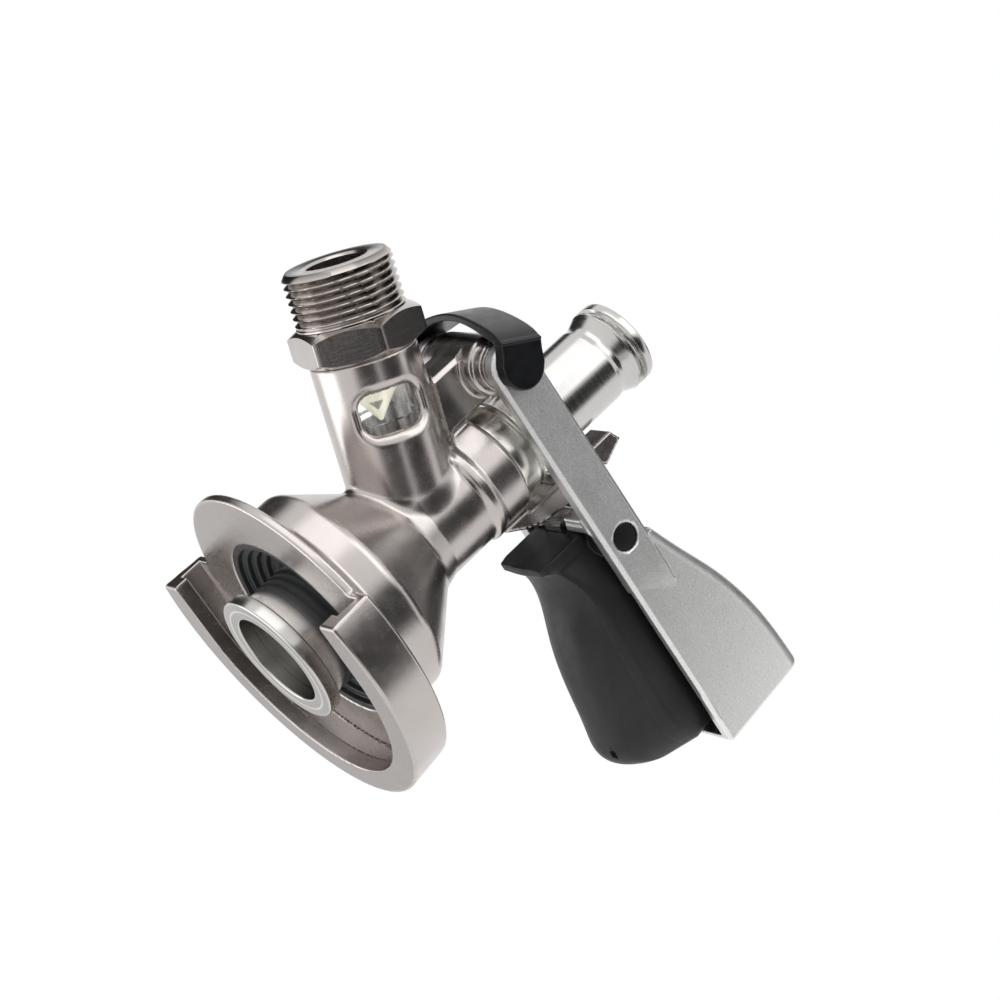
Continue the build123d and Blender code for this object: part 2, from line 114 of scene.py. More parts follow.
def addSurface(name, parts, body, nodes, material, sharp=35):
    # parts is a list of (points, quads) that each close on themselves
    allPoints, allFaces, start = [], [], 0
    for points, faces in parts:
        if surfaceVolume(points - points.mean(0), faces) < 0:
            faces = faces[:, ::-1]
        allPoints.append(points)
        allFaces.append(faces + start)
        start += len(points)
    mesh = bpy.data.meshes.new(name)
    fillMesh(mesh, np.concatenate(allPoints), np.concatenate(allFaces))
    mesh.set_sharp_from_angle(angle=math.radians(sharp))
    addPiece(name, mesh, body, nodes, material)


def roundedOutline(corners, arc=5):
    # corners are (radius, height, rounding): each is swapped for an arc that touches both of its edges
    corners = np.array(corners, float)
    spots, out = corners[:, :2], []
    for i, r in enumerate(corners[:, 2]):
        here, before, after = spots[i], spots[i - 1], spots[(i + 1) % len(spots)]
        if r == 0:
            out.append(here[None])
            continue
        u = (before - here) / np.linalg.norm(before - here)
        w = (after - here) / np.linalg.norm(after - here)
        half = math.acos(np.clip(u @ w, -1, 1)) / 2
        centre = here + (u + w) / np.linalg.norm(u + w) * r / math.sin(half)
        first, last = here + u * r / math.tan(half) - centre, here + w * r / math.tan(half) - centre
        t = np.linspace(0, 1, arc + 1)[:, None]
        ray = first * (1 - t) + last * t
        out.append(centre + r * ray / np.linalg.norm(ray, axis=1)[:, None])
    return np.concatenate(out)


def carried(r, h, turn, place):
    # radius and height rows carried round the axis: x = r cos turn, y = r sin turn, z = height
    points = np.stack([r * np.cos(turn), r * np.sin(turn), h + 0 * turn], -1).reshape(-1, 3)
    return place(points) if place else points, gridFaces(len(r), len(turn), True, True)


def turned(outline, segments=144, place=None):
    turn = np.linspace(0, 2 * math.pi, segments, endpoint=False)
    return carried(outline[:, :1], outline[:, 1:], turn, place)


def threaded(outline, form, low, high, fadeOut, place=None):
    # as turned, but between two heights the radius dips with the helix: a V with rounded crest and root,
    # dip = 1/2 - asin(k cos(2 pi phase)) / (2 asin k), phase running once round each turn of the thread
    turn = np.linspace(0, 2 * math.pi, 200, endpoint=False)
    r, h = outline[:, :1], outline[:, 1:] + 0 * turn
    keen, fadeIn, skin = 0.975, 0.7, 0.9
    phase = ((h - low) / form["pitch"] - turn / (2 * math.pi)) % 1
    dip = 0.5 - np.arcsin(keen * np.cos(2 * math.pi * phase)) / (2 * math.asin(keen))
    fade = np.clip((h - low) / fadeIn, 0, 1) * np.clip((high - h) / fadeOut, 0, 1)
    r = r - np.where(r > form["thread"] - skin, form["depth"] * dip * fade, 0)
    return carried(r, h, turn, place)


# distance fields: a casting or moulding is the place where its field is zero

def roundMin(a, b, r):
    # union whose inner corner is a fillet of radius r
    return np.maximum(np.minimum(a, b), r) - np.hypot(np.maximum(r - a, 0), np.maximum(r - b, 0))


def roundMax(a, b, r):
    # intersection whose outer corner is rounded to radius r
    return np.minimum(np.maximum(a, b), -r) + np.hypot(np.maximum(r + a, 0), np.maximum(r + b, 0))


def bevelMax(a, b, c):
    # intersection with a flat bevel of width c
    return np.maximum(np.maximum(a, b), (a + b + c) * 0.7071)


def polygonField(corners, u, v):
    # distance to the nearest edge, negative inside
    corners = np.array(corners, float)
    best, inside = np.full(u.shape, 1e9), np.zeros(u.shape, bool)
    for (au, av), (bu, bv) in zip(corners, np.roll(corners, -1, 0)):
        du, dv = bu - au, bv - av
        t = np.clip(((u - au) * du + (v - av) * dv) / (du * du + dv * dv), 0, 1)
        best = np.minimum(best, (u - au - t * du) ** 2 + (v - av - t * dv) ** 2)
        if bv != av:
            inside ^= ((av > v) != (bv > v)) & (u < (bu - au) * (v - av) / (bv - av) + au)
    return np.sqrt(best) * np.where(inside, -1, 1)


def slab(value, middle, half):
    return np.abs(value - middle) - half


def between(value, low, high):
    return slab(value, (low + high) / 2, (high - low) / 2)


def rodField(line, r, x, z):
    return np.hypot(x - line["x"], z - line["z"]) - r


def slotField(start, half, x, y):
    # an open slot that ends in a half circle round (start, 0)
    return np.where(x > start, np.hypot(x - start, y), np.abs(y)) - half


def tableField(outline, pitch=0.15, margin=8):
    # a turned outline's distances, worked out once on a plane and read back between its points
    high = outline.max(0) + margin
    low = np.array([0, outline[:, 1].min() - margin])
    size = np.ceil((high - low) / pitch).astype(int) + 1
    r, z = np.meshgrid(low[0] + np.arange(size[0]) * pitch, low[1] + np.arange(size[1]) * pitch, indexing="ij")
    table = polygonField(outline, r, z)

    def read(rho, height):
        a = np.clip((rho - low[0]) / pitch, 0, size[0] - 1.001)
        b = np.clip((height - low[1]) / pitch, 0, size[1] - 1.001)
        i, j = a.astype(int), b.astype(int)
        a, b = a - i, b - j
        near = table[i, j] * (1 - b) + table[i, j + 1] * b
        far = table[i + 1, j] * (1 - b) + table[i + 1, j + 1] * b
        return near * (1 - a) + far * a
    return read


def splineThrough(xs, ys, x):
    # natural cubic through the stations, its bends solved from equal slopes at each one
    xs, ys = np.array(xs, float), np.array(ys, float)
    n, h = len(xs), np.diff(xs)
    a, b = np.eye(n), np.zeros(n)
    for i in range(1, n - 1):
        a[i, i - 1:i + 2] = h[i - 1], 2 * (h[i - 1] + h[i]), h[i]
        b[i] = 6 * ((ys[i + 1] - ys[i]) / h[i] - (ys[i] - ys[i - 1]) / h[i - 1])
    m = np.linalg.solve(a, b)
    x = np.clip(x, xs[0], xs[-1])
    i = np.clip(np.searchsorted(xs, x) - 1, 0, n - 2)
    p, q = xs[i + 1] - x, x - xs[i]
    bend = (m[i] * p ** 3 + m[i + 1] * q ** 3) / (6 * h[i])
    return bend + (ys[i] / h[i] - m[i] * h[i] / 6) * p + (ys[i + 1] / h[i] - m[i + 1] * h[i] / 6) * q


def slopeOf(field, points, reach=0.03):
    # value and gradient from the four corners of a small tetrahedron
    value, slope = 0, np.zeros_like(points)
    for k in ((1, -1, -1), (-1, -1, 1), (-1, 1, -1), (1, 1, 1)):
        f = field(*(points + np.array(k) * reach).T)
        value = value + f / 4
        slope += f[:, None] * np.array(k) / (4 * reach)
    return value, slope


def settle(field, points, step, rounds):
    # each point slides down its own slope onto the zero of the field
    for _ in range(rounds):
        value, slope = slopeOf(field, points)
        move = value / np.maximum((slope ** 2).sum(1), 0.05)
        points = points - slope * np.clip(move, -step, step)[:, None]
    return points


def fieldValues(field, low, count, step, coarse=6):
    # the field on a grid; only nodes that a coarser grid finds near the surface are worked out
    few = count // coarse + 2
    axes = [low[a] + np.arange(few[a]) * coarse * step for a in range(3)]
    rough = field(*[g.ravel() for g in np.meshgrid(*axes, indexing="ij")]).reshape(few)
    nearest = [np.minimum((np.arange(count[a]) + coarse // 2) // coarse, few[a] - 1) for a in range(3)]
    values = rough[np.ix_(*nearest)]
    close = np.argwhere(np.abs(values) < 1.6 * coarse * step)
    for chunk in np.array_split(close, max(1, len(close) // 1000000)):
        values[tuple(chunk.T)] = field(*(low + chunk * step).T)
    return values


def fieldSurface(field, low, high, step):
    # one point in each grid cell that the surface crosses, and a quad round each crossed grid edge
    low = np.array(low, float)
    count = np.ceil((np.array(high) - low) / step).astype(int) + 1
    inside = fieldValues(field, low, count, step) < 0
    corners = sum(inside[i:count[0] - 1 + i, j:count[1] - 1 + j, k:count[2] - 1 + k].astype(np.int8)
                  for i in (0, 1) for j in (0, 1) for k in (0, 1))
    mixed = (corners > 0) & (corners < 8)
    number = np.full(mixed.shape, -1)
    cells = np.argwhere(mixed)
    number[mixed] = np.arange(len(cells))
    quads = []
    for axis in range(3):
        along, one, two = np.roll(np.eye(3, dtype=int), -axis, 0)
        first = inside[tuple(slice(0, count[a] - along[a]) for a in range(3))]
        second = inside[tuple(slice(along[a], count[a]) for a in range(3))]
        for leaving, order in ((first & ~second, 1), (~first & second, -1)):
            at = np.argwhere(leaving)
            ring = [number[tuple((at - shift).T)] for shift in (one + two, two, 0 * one, one)]
            quads.append(np.stack(ring[::order], 1))
    return settle(field, low + (cells + 0.5) * step, step * 0.6, 3), np.concatenate(quads)


def addCasting(name, field, low, high, step, most, body, nodes, material):
    # the field's surface, thinned where flat and settled again, with the field's slope as normals
    points, quads = fieldSurface(field, low, high, step)
    mesh = bpy.data.meshes.new(name)
    fillMesh(mesh, points, quads)
    ratio = most / (2 * len(quads))
    if ratio < 1:
        thin = addObject("thin", mesh)
        thin.modifiers.new("thin", "DECIMATE").ratio = ratio
        slim = bpy.data.meshes.new_from_object(thin.evaluated_get(bpy.context.evaluated_depsgraph_get()))
        bpy.data.objects.remove(thin)
        bpy.data.meshes.remove(mesh)
        mesh = slim
        mesh.name = name
    flat = np.zeros(len(mesh.vertices) * 3, np.float32)
    mesh.vertices.foreach_get("co", flat)
    points = settle(field, flat.reshape(-1, 3).astype(float) / mm, step * 0.3, 2)
    mesh.vertices.foreach_set("co", (points * mm).astype(np.float32).ravel())
    mesh.update()
    mesh.shade_smooth()
    slope = slopeOf(field, points, 0.06)[1]
    slope /= np.maximum(np.linalg.norm(slope, axis=1), 1e-6)[:, None]
    mesh.normals_split_custom_set_from_vertices(slope.tolist())
    print(name, len(mesh.polygons), "faces")
    addPiece(name, mesh, body, nodes, material)


# finishes: every one is noise in object coordinates

def feed(node, inputs):
    # each socket takes a value, or a link from another node's output
    for socket, value in inputs.items():
        if isinstance(value, bpy.types.NodeSocket):
            node.id_data.links.new(value, node.inputs[socket])
        else:
            node.inputs[socket].default_value = value


def addNode(near, kind, output, inputs, **settings):
    # a new node in the tree that near is part of
    node = near.id_data.nodes.new("ShaderNode" + kind)
    for key, value in settings.items():
        setattr(node, key, value)
    feed(node, inputs)
    return node.outputs[output]


def newFinish(name, colour, metal=0, rough=0.5):
    material = bpy.data.materials.new(name)
    material.use_nodes = True
    shader = material.node_tree.nodes["Principled BSDF"]
    feed(shader, {"Base Color": (*colour, 1), "Metallic": metal, "Roughness": rough})
    return material, shader, addNode(shader, "TexCoord", "Object", {})


def noiseOf(place, size, detail=3, stretch=None):
    # size is the width of one blotch in millimetres; stretch squeezes it along the axes
    if stretch:
        place = addNode(place, "Mapping", "Vector", {"Vector": place, "Scale": stretch})
    return addNode(place, "TexNoise", "Fac", {"Vector": place, "Scale": 1 / (size * mm), "Detail": detail})


def turnedTo(place, at=(0, 0, 0), turn=(0, 0, 0)):
    # the same place, told in a frame that is moved and turned
    return addNode(place, "Mapping", "Vector", {"Vector": place, "Location": at, "Rotation": turn},
                   vector_type="TEXTURE")


def spread(value, low, high, fromLow=0.3, fromHigh=0.7):
    return addNode(value, "MapRange", "Result", {"Value": value, "From Min": fromLow, "From Max": fromHigh,
                                                 "To Min": low, "To Max": high})


def mathOf(kind, *values):
    return addNode(values[0], "Math", "Value", dict(enumerate(values)), operation=kind)


def blendColour(value, *ends):
    # each end is a colour or another node's output
    first, second = ((*end, 1) if isinstance(end, tuple) else end for end in ends)
    return addNode(value, "Mix", "Result", {"Factor": value, "A": first, "B": second}, data_type="RGBA")


def bump(shader, heights):
    # heights is a list of (value, millimetres); each bump sits on the one before
    last = {}
    for value, height in heights:
        sockets = {"Height": value, "Distance": height * mm, "Strength": 1, **last}
        last = {"Normal": addNode(shader, "Bump", "Normal", sockets)}
    feed(shader, last)


def axesOf(place):
    return addNode(place, "SeparateXYZ", "X", {"Vector": place}).node.outputs


def radiusOf(place):
    flat = addNode(place, "VectorMath", "Vector", {0: place, 1: (1, 1, 0)}, operation="MULTIPLY")
    return addNode(flat, "VectorMath", "Value", {0: flat}, operation="LENGTH")


def castFinish():
    # blasted and tumbled casting: soft hammered waves, fine pits, warm nickel tint
    look = {"light": (0.575, 0.535, 0.515), "dark": (0.49, 0.45, 0.435), "rough": (0.22, 0.29),
            "wave": (7, 0.03), "pit": (0.45, 0.01)}
    material, shader, place = newFinish("castFinish", look["light"], 1)
    feed(shader, {"Base Color": blendColour(noiseOf(place, 9, 4), look["dark"], look["light"]),
                  "Roughness": spread(noiseOf(place, 4, 5), *look["rough"])})
    bump(shader, [(noiseOf(place, look["wave"][0], 1), look["wave"][1]),
                  (noiseOf(place, look["pit"][0], 3), look["pit"][1])])
    return material


def turnedFinish(name, light, dark, rough, ring=0.004, tilt=None, scratch=None, band=None):
    # machined metal: fine rings round the axis and, where asked, scratches along it beyond one radius
    # or painted light in a band of radius: painted shade in thread roots, a painted highlight on a wall
    material, shader, place = newFinish(name, light, 1)
    if tilt:
        place = turnedTo(place, **tilt)
    radius = radiusOf(place)
    rings = addNode(place, "CombineXYZ", "Vector", {"X": radius, "Z": axesOf(place)[2]})
    tint = blendColour(noiseOf(place, 7, 4), dark, light)
    # the band's colour is painted light laid into the tint: painted shade or a painted highlight
    if band:
        deep = spread(radius, 1, 0, band["to"], band["to"] + band["fade"])
        inner = spread(radius, 0, 1, band["from"] - 0.1 * mm, band["from"])
        tint = blendColour(mathOf("MULTIPLY", deep, inner), tint, band["colour"])
    feed(shader, {"Base Color": tint, "Roughness": spread(noiseOf(rings, 0.45, 4), *rough)})
    heights, grooves = [(noiseOf(place, 2.2, 3), ring * 0.8)], noiseOf(rings, 0.22, 4)
    if scratch:
        beyond = spread(radius, 0, 1, scratch["from"], scratch["to"])
        within = spread(radius, 1, 0, scratch["from"], scratch["to"])
        lines = noiseOf(place, 0.5, 3, (1, 1, 0.05))
        heights.append((mathOf("MULTIPLY", lines, beyond), scratch["height"]))
        grooves = mathOf("MULTIPLY", grooves, within)
    bump(shader, heights + [(grooves, ring)])
    return material


def dieCastFinish():
    # grainy silver casting with a fine sparkle, and painted light that brightens it towards the shield's end
    look = {"dark": (0.6, 0.6, 0.6), "light": (0.84, 0.84, 0.83), "paintedLitDark": (0.8, 0.795, 0.78),
            "paintedLitLight": (0.97, 0.965, 0.95), "from": 30 * mm, "to": 92 * mm, "rough": (0.41, 0.46)}
    material, shader, place = newFinish("dieCastFinish", look["light"], 1)
    speckle = spread(noiseOf(place, 0.32, 3), 0, 1)
    near = blendColour(speckle, look["dark"], look["light"])
    # painted light: lighter colours towards the shield's end, where light falls on it
    far = blendColour(speckle, look["paintedLitDark"], look["paintedLitLight"])
    share = spread(axesOf(place)[0], 0, 1, look["from"], look["to"])
    feed(shader, {"Base Color": blendColour(share, near, far),
                  "Roughness": spread(noiseOf(place, 6, 4), *look["rough"])})
    bump(shader, [(noiseOf(place, 3, 2), 0.01), (noiseOf(place, 0.6, 3), 0.045)])
    return material


def mouldedFinish(name, dark, light, rough, grain, height, gloss=0.5):
    # plastic or rubber with a faint cloud of colour and a fine grain
    material, shader, place = newFinish(name, dark)
    feed(shader, {"Specular IOR Level": gloss, "Base Color": blendColour(noiseOf(place, 12, 5), dark, light),
                  "Roughness": spread(noiseOf(place, 3, 4), *rough)})
    bump(shader, [(noiseOf(place, grain, 2), height)])
    return material


def glassFinish():
    # clear glass, with faint bright streaks along the inlet that glow as painted light
    material, shader, place = newFinish("glassFinish", (0.98, 0.985, 0.975), 0, 0.02)
    paintedGlowStreaks = noiseOf(turnedTo(place, **gasTilt), 2.6, 2, (1, 1, 0.25))
    # the streaks are painted light: a faint glow from emission
    feed(shader, {"Transmission Weight": 1, "IOR": 1.47, "Emission Color": (1, 1, 0.98, 1),
                  "Emission Strength": spread(paintedGlowStreaks, 0, 0.11, 0.5, 0.66)})
    bump(shader, [(noiseOf(place, 4, 2), 0.004)])
    return material


valveForm = {"top": 38.8, "tip": 29.3, "wall": 1, "round": 7.6, "slit": 0.7, "wide": 7, "turn": -29,
             "flange": ((10.4, 38.8), (10.4, 40.1), (5.6, 40.1), (5.6, 38.8)),
             "skin": (-1.5, 4.2), "skinFrom": 0.4, "skinTo": 4.4, "skinEnd": 2}


def siliconeFinish():
    # milky rubber that glows faintly as painted light; the thin skin between its thick edges looks darker and narrows
    # to the slit
    f = valveForm
    look = {"milk": (0.9, 0.88, 0.76), "skin": (0.2, 0.21, 0.18)}
    material, shader, place = newFinish("siliconeFinish", look["milk"], 0, 0.3)
    place = turnedTo(turnedTo(place, **gasTilt), turn=(0, 0, math.radians(f["turn"])))
    x, _, z = axesOf(place)
    half = spread(z, f["skin"][0] * mm, f["skin"][1] * mm, (f["tip"] + f["skinFrom"]) * mm,
                  (f["top"] - f["skinEnd"]) * mm)
    inside = spread(mathOf("SUBTRACT", half, mathOf("ABSOLUTE", x)), 0, 1, 0, 0.35 * mm)
    below = spread(z, 1, 0, (f["tip"] + f["skinTo"]) * mm, (f["tip"] + f["skinTo"] + 0.4) * mm)
    tint = blendColour(mathOf("MULTIPLY", inside, below), look["milk"], look["skin"])
    # the emission is a painted glow, standing in for light that passes into the rubber
    feed(shader, {"Base Color": tint, "Emission Color": tint, "Emission Strength": 0.3,
                  "Subsurface Weight": 0.6, "Subsurface Radius": (0.003, 0.003, 0.002),
                  "Transmission Weight": 0.15})
    bump(shader, [(noiseOf(place, 1.2, 2), 0.02)])
    return material


casting = castFinish()
polished = turnedFinish("polishedSteel", (0.61, 0.6, 0.585), (0.54, 0.53, 0.515), (0.15, 0.24), 0.009)
collarMetal = turnedFinish("collarMetal", (0.93, 0.915, 0.86), (0.84, 0.825, 0.77), (0.17, 0.28))
# the bright band on the probe sleeve's outer wall is a painted highlight, standing in for light that it reflects
satinTurned = turnedFinish(
    "satinTurned", (0.62, 0.61, 0.585), (0.55, 0.54, 0.52), (0.17, 0.25), 0.003,
    band={"from": 14.55 * mm, "to": 14.95 * mm, "fade": 0.25 * mm, "colour": (0.95, 0.94, 0.92)})
# the dark band is painted shade in the thread roots, where the threads shade each other
inletMetal = turnedFinish(
    "inletMetal", (0.58, 0.54, 0.52), (0.45, 0.42, 0.4), (0.15, 0.2), tilt=gasTilt,
    scratch={"from": 13.4 * mm, "to": 13.9 * mm, "height": 0.006},
    band={"from": 11.65 * mm, "to": 12.05 * mm, "fade": 1.05 * mm, "colour": (0.2, 0.17, 0.155)})
pinSteel = turnedFinish("pinSteel", (0.42, 0.41, 0.4), (0.34, 0.33, 0.32), (0.2, 0.35))
darkSteel = turnedFinish("darkSteel", (0.03, 0.03, 0.032), (0.045, 0.045, 0.045), (0.35, 0.5))
dieCast = dieCastFinish()
gripPlastic = mouldedFinish("gripPlastic", (0.01, 0.0105, 0.0115), (0.014, 0.0145, 0.016), (0.42, 0.52),
                            0.35, 0.016, 0.46)
sealRubber = mouldedFinish("sealRubber", (0.016, 0.018, 0.022), (0.028, 0.031, 0.037), (0.36, 0.52), 0.8, 0.008)
clipRubber = mouldedFinish("clipRubber", (0.0025, 0.003, 0.0045), (0.0045, 0.005, 0.007), (0.28, 0.38),
                           1.2, 0.01, 0.42)
bushPlastic = mouldedFinish("bushPlastic", (0.05, 0.05, 0.05), (0.07, 0.07, 0.07), (0.3, 0.4), 0.5, 0.004)
clearGlass = glassFinish()
milkySilicone = siliconeFinish()
print("finishes made")


# coupler body

bodyForm = {
    "disk": 38.6, "foot": 28.8, "footTop": 11.8, "neck": 14.1, "coneTop": 31,
    "collarLow": 50.4, "collar": 14.4, "collarTop": 60.1, "bead": 14.9,
    "skirt": 44.75, "skirtDraft": 1.2, "skirtX": -2.6, "skirtLow": -9.85, "skirtTop": 2.1, "railEnd": -15.5,
    "slot": 36.5, "slotX": -1.2, "undercut": 2.7, "lip": 4.2,
    "sealBore": (25.3, 9.8), "seat": (16.9, 16.5), "waist": (15.45, 25.6), "neckBore": (11.6, 27.5, 43),
    "rib": (10.2, 51.9), "bushBore": 11.9,
    "stub": 12.95, "stubFrom": 12, "stubTo": 44.4, "chamber": 10.8, "chamberFrom": 19.6, "port": (5.2, 14.5, 6),
    "windowAt": 31.5, "windowHalf": (3.85, 6.3), "windowCorner": 2.2, "windowDraft": 0.1405, "windowRim": 2.7,
    "windowTurn": 13, "windowFrom": 4,
    "lugHalf": 6, "lugBack": -27.6, "boss": (7.3, 10.2), "nose": (6.2, 13.15), "pin": 3.5,
    "catch": 44.6, "postBack": 2.6, "tooth": 0.5, "postHalf": (6.2, 4.5),
}


def onArc(radius, z):
    # the point at height z on an arc about the hinge
    return hinge["x"] + math.sqrt(radius ** 2 - (z - hinge["z"]) ** 2), z


def bodyOutline():
    # foot disk, fillet, short wall, cone, neck, bead and collar
    f = bodyForm
    disk, foot, neck, low, bead, collar = (f[k] for k in ("disk", "foot", "neck", "skirtTop", "bead", "collar"))
    band = f["collarLow"]
    return roundedOutline([
        (0, 0, 0), (disk, 0, 0.7), (disk, low + 0.3, 0.8), (foot + 2.4, low + 1.9, 3), (foot, low + 4.2, 1.2),
        (foot, f["footTop"] + 2, 3.6), (neck + 1.2, f["coneTop"] - 0.6, 4.5), (neck, f["coneTop"] + 4, 1),
        (neck - 0.1, band - 2.3, 1.6), (bead, band - 1.2, 0.8), (bead, band + 0.6, 0.8), (collar, band + 1.9, 0.8),
        (collar, f["collarTop"], 0.7), (0, f["collarTop"], 0)])


def boreOutline():
    # seal's seat, cone, neck bore, rib above the O-ring and bush's seat, open at both ends
    f = bodyForm
    (seal, sealTop), (bore, low, high), (rib, ribTop) = f["sealBore"], f["neckBore"], f["rib"]
    top = f["collarTop"] + 9
    return np.array([(0, -20), (seal, -20), (seal, sealTop), (f["seat"][0], sealTop), f["seat"], f["waist"],
                     (bore, low), (bore, high), (rib, high), (rib, ribTop), (f["bushBore"], ribTop),
                     (f["bushBore"], top), (0, top)], float)


bodyTable = tableField(bodyOutline())
boreTable = tableField(boreOutline())


def postField(x, y, z):
    # a wide foot on the collar and a mast with two rows of latch teeth, both bent about the hinge
    f = bodyForm
    back, arc, tooth = f["collar"], f["catch"] - f["postBack"], f["catch"] - f["tooth"]
    foot = [(11, 52), (back, 52), (back + 3.4, 57.5), onArc(arc, 62), onArc(arc, 73), (back, 73),
            (back, f["collarTop"]), (11, f["collarTop"])]
    mast = [(back, 70), onArc(arc, 70), onArc(tooth, 71.2), onArc(tooth, 72.6), onArc(arc, 74.4),
            onArc(arc, 83.4), onArc(tooth, 84.8), onArc(tooth, 91.8), (back, 90.3)]
    wide, slim = f["postHalf"]
    low = roundMax(polygonField(foot, x, z), np.abs(y) - wide, 0.8)
    return roundMin(low, roundMax(polygonField(mast, x, z), np.abs(y) - slim, 0.6), 0.8)


def lugField(x, y, z):
    # a flat web up to the hinge, a boss round its pin and a narrower nose on each side
    f = bodyForm
    low, front, back = f["collarLow"] - 1, -f["collar"] + 0.2, f["lugBack"]
    plate = [(back, low), (front + 1, low), (front, f["collarTop"]), (front, hinge["z"]), (back + 2, hinge["z"]),
             (back, hinge["z"] - 2)]
    web = bevelMax(polygonField(plate, x, z), np.abs(y) - f["lugHalf"], 1)
    boss = roundMax(rodField(hinge, f["boss"][0], x, z), np.abs(y) - f["boss"][1], 0.9)
    nose = roundMax(rodField(hinge, f["nose"][0], x, z), np.abs(y) - f["nose"][1], 0.4)
    return roundMin(roundMin(web, boss, 1.2), nose, 0.6)


def stubField(along, tip, y):
    # a capsule along the inlet, with a drafted, rounded window in each leaning flank
    f = bodyForm
    capsule = np.hypot(np.hypot(tip, y), np.minimum(along - f["stubFrom"], 0)) - f["stub"]
    c, s = cosSin(f["windowTurn"])
    depth, across = np.abs(y) * c - tip * s, tip * c + np.abs(y) * s
    draft = (depth - f["windowFrom"]) * f["windowDraft"]
    halfL, halfT = f["windowHalf"]
    window = roundMax(slab(along, f["windowAt"], halfL) - draft, np.abs(across) - halfT - draft,
                      np.maximum(f["windowCorner"] + draft, 0.1))
    stub = roundMax(capsule, along - f["stubTo"], 0.9)
    return roundMax(stub, -np.maximum(window, f["windowFrom"] - depth), f["windowRim"])


def bodyField(x, y, z):
    # turned foot and neck, skirt, stub, lug and post joined with fillets, then the slot and bores cut
    f = bodyForm
    rho = np.hypot(x, y)
    along = -gasCos * x + gasSin * (z - gasLine["z"])
    tip = gasSin * x + gasCos * (z - gasLine["z"])
    low, top = f["skirtLow"], f["skirtTop"]
    draw = f["skirtDraft"] * (z - low) / (top - low)
    rim = roundMax(np.hypot(x - f["skirtX"], y) - f["skirt"] + draw, f["railEnd"] - x, 0.5)
    solid = roundMin(bodyTable(rho, z), roundMax(rim, between(z, low, top), 0.9), 0.5)
    solid = roundMin(solid, stubField(along, tip, y), 2.2)
    solid = roundMin(solid, lugField(x, y, z), 1.2)
    solid = roundMin(solid, postField(x, y, z), 1)
    slot = np.maximum(slotField(f["slotX"], f["slot"], x, y), z)
    under = slotField(f["slotX"], f["slot"] + f["undercut"], x, y)
    under = np.maximum(under, np.maximum(z, low + f["lip"] - z))
    solid = roundMax(solid, -np.minimum(slot, under), 0.3)
    solid = roundMax(solid, -boreTable(rho, z), 0.3)
    portR, portAt, portHalf = f["port"]
    out = np.hypot(tip, y)
    chamber = np.maximum(out - f["chamber"], f["chamberFrom"] - along)
    port = np.maximum(out - portR, slab(along, portAt, portHalf))
    solid = np.maximum(solid, -np.minimum(chamber, port))
    return np.maximum(solid, -rodField(hinge, f["pin"], x, z))


addCasting("couplerBody", bodyField, (-47.5, -45.8, -10.8), (43.2, 45.8, 92.8), 0.55, 190000,
           "body", ["coupler_body"], casting)


# seals, valve, sight glass

sealForm = {"r": 25.3, "top": 9.8, "low": 0.25, "rim": 1.5, "step": 1.55, "steps": 4, "lip": 15.2,
            "lipLow": 7.6, "lipHigh": 9}


def sealOutline():
    # a stair of equal steps down to the sealing lip
    f = sealForm
    corners = [(f["r"], f["low"], 0.2)]
    r, z = f["r"] - f["rim"], f["low"]
    for _ in range(f["steps"]):
        corners += [(r, z, 0.45), (r - 0.15, z + f["step"], 0.35)]
        r, z = r - f["step"], z + f["step"]
    corners += [(f["lip"] + 1.2, z, 0.3), (f["lip"], f["lipLow"], 0.3), (f["lip"], f["lipHigh"], 0),
                (f["lip"] + 0.8, f["top"], 0), (f["r"], f["top"], 0)]
    return roundedOutline(corners)


addSurface("bodySeal", [turned(sealOutline(), 200)], "body", ["body_seal"], sealRubber, 60)

glass = {"out": 10.55, "in": 8.6, "seat": 7.7, "from": 21.2, "step": 28.4, "to": 38.8}
glassOutline = roundedOutline([
    (glass["out"], glass["from"], 0.5), (glass["out"], glass["to"], 0.5), (glass["in"], glass["to"], 0.5),
    (glass["in"], glass["step"] + 0.5, 0.15), (glass["seat"], glass["step"], 0.15),
    (glass["seat"], glass["from"], 0.5)])
addSurface("sightGlass", [turned(glassOutline, 120, onGas)], "body", ["sight_tube"], clearGlass, 40)


def duckbill():
    # a round tube that flattens to a lip: its half widths slide from a circle's to a slit's
    f, rows, around = valveForm, 28, 96
    t = np.linspace(0, 1, rows)
    turn = np.linspace(0, 2 * math.pi, around, endpoint=False)
    ease = np.clip((t - 0.16) / 0.84, 0, 1)[:, None]
    shells = []
    for shrink in (0, f["wall"]):
        thin = f["round"] + (f["slit"] - f["round"]) * ease - shrink * (1 - 0.55 * ease)
        wide = f["round"] + (f["wide"] - f["round"]) * ease - shrink
        power = 1 - 0.35 * ease
        x = np.maximum(thin, 0.12) * np.sign(np.cos(turn)) * np.abs(np.cos(turn)) ** power
        y = wide * np.sign(np.sin(turn)) * np.abs(np.sin(turn)) ** power
        z = f["top"] + (f["tip"] - f["top"] + shrink * 0.4) * t[:, None] + 0 * turn
        shells.append(np.stack([x, y, z], -1))
    x, y, z = np.concatenate([shells[0], shells[1][::-1]]).reshape(-1, 3).T
    c, s = cosSin(f["turn"])
    return onGas(np.stack([x * c - y * s, x * s + y * c, z], 1)), gridFaces(2 * rows, around, True, True)


flange = roundedOutline([(*corner, 0.3) for corner in valveForm["flange"]], 3)
addSurface("checkValve", [duckbill(), turned(flange, 96, onGas)], "body", ["check_valve"],
           milkySilicone, 50)
print("seals and sight glass made")


# gas adaptor

adaptor = {"low": 41.6, "seat": 44.4, "hex": 28.2, "hexHigh": 8.8, "hexTurn": 23, "face": 13.07, "spigot": 10.75,
           "thread": 13.22, "root": 11.9, "end": 66.7, "bore": 7.2, "pitch": 1.814, "depth": 1.16}


